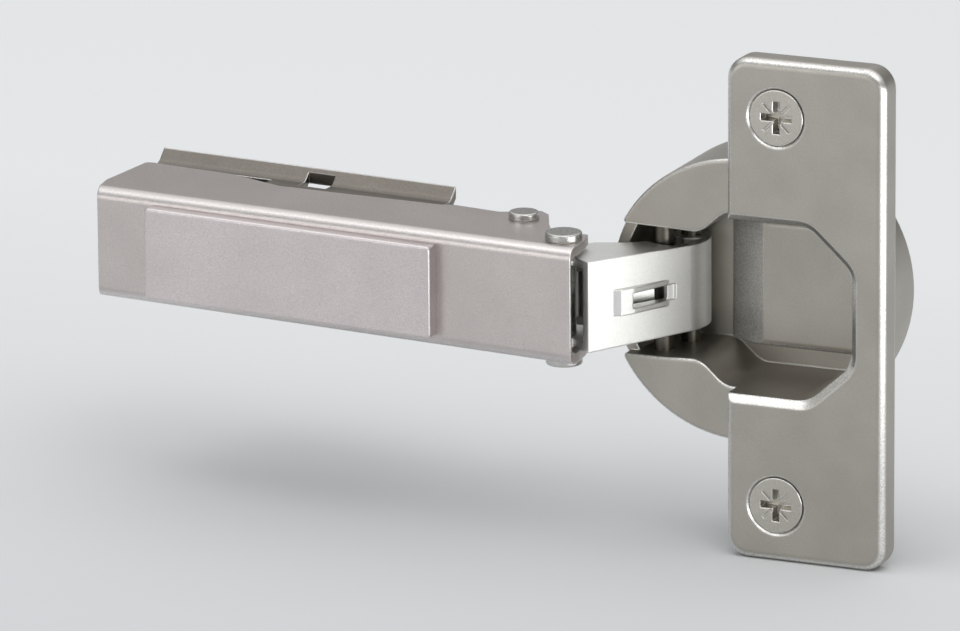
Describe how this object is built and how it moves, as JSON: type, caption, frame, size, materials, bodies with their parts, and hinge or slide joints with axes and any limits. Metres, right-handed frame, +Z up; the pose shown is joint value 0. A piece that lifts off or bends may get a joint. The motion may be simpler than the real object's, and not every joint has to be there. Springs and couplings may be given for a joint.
{
  "type": "concealed cabinet hinge",
  "caption": "Concealed cabinet hinge with a 35 mm cup and flange, folding links, a channel arm with a clip-on cap, and an adapter for the mounting plate, drawn open.",
  "frame": {"origin": "axis of the hinge cup at the door's inner face", "axes": "+Z up along the hinge pins, +Y into the door, the arm reaches towards -X"},
  "size_m": [0.1054, 0.0262, 0.062],
  "materials": {
    "zinc_casting": "nickel-plated zinc casting, satin",
    "arm_steel": "nickel-plated sheet steel, satin",
    "cap_steel": "nickel-plated sheet steel, fine grain",
    "link_steel": "nickel-plated sheet steel, bright",
    "pin_steel": "bright drawn steel",
    "spring_steel": "spring steel, plain",
    "screw_steel": "nickel-plated steel, bright"
  },
  "bodies": {
    "cup": {"hinge_cup": "zinc_casting", "flange_screws": "screw_steel", "cup_pin_front": "pin_steel", "cup_pin_rear": "pin_steel"},
    "outer_link": {"outer_link": "link_steel"},
    "inner_link": {"inner_link": "link_steel"},
    "arm": {"hinge_arm": "arm_steel", "arm_pin_front": "pin_steel", "arm_pin_rear": "pin_steel", "closing_spring": "spring_steel", "spring_rivet": "pin_steel", "cover_cap": "cap_steel"},
    "guide_block": {"guide_block": "zinc_casting"},
    "depth_cam": {"depth_cam": "screw_steel"},
    "overlay_screw": {"overlay_screw": "screw_steel"},
    "adapter": {"adapter": "arm_steel", "clip_pin": "pin_steel", "lever_pin": "pin_steel", "lever_spring": "spring_steel"},
    "release_lever": {"release_lever": "arm_steel"}
  },
  "joints": [
    {"name": "door_fold", "type": "hinge", "parent": "cup", "child": "outer_link", "pos_m": [-0.0099, 0.0084, 0], "axis": [0, 0, 1], "range_deg": [0, 84]},
    {"name": "arm_fold", "type": "hinge", "parent": "outer_link", "child": "arm", "pos_m": [-0.02018, -0.00655, 0], "axis": [0, 0, 1], "range_deg": [0, 11]},
    {"name": "inner_fold", "type": "hinge", "parent": "cup", "child": "inner_link", "pos_m": [-0.0115, 0.0037, 0], "axis": [0, 0, 1], "range_deg": [0, 109.5]},
    {"name": "overlay_tilt", "type": "hinge", "parent": "arm", "child": "guide_block", "pos_m": [-0.06419, -0.00531, 0], "axis": [0, 0, 1], "range_deg": [-2, 2]},
    {"name": "overlay_screw_turn", "type": "hinge", "parent": "guide_block", "child": "overlay_screw", "pos_m": [-0.04599, -0.00841, 0], "axis": [0.0872, 0.9962, 0], "range_deg": [-289, 289]},
    {"name": "depth_slide", "type": "slide", "parent": "guide_block", "child": "adapter", "axis": [-0.9962, 0.0872, 0], "range_m": [-0.0019, 0.0019]},
    {"name": "depth_cam_turn", "type": "hinge", "parent": "guide_block", "child": "depth_cam", "pos_m": [-0.06432, -0.0068, 0], "axis": [0.0872, 0.9962, 0], "range_deg": [-60, 60]},
    {"name": "lever_press", "type": "hinge", "parent": "adapter", "child": "release_lever", "pos_m": [-0.07131, 0.00515, 0], "axis": [0, 0, 1], "range_deg": [-14, 0], "stiffness_Nm_per_rad": 0.02, "springref_deg": 17.19}
  ],
  "couplings": [
    {"joint": "arm_fold", "follows": "door_fold", "ratio": 0.13095},
    {"joint": "inner_fold", "follows": "door_fold", "ratio": 1.3036},
    {"joint": "overlay_tilt", "follows": "overlay_screw_turn", "ratio": 0.00692},
    {"joint": "depth_cam_turn", "follows": "depth_slide", "rad_per_m": -551.1}
  ]
}
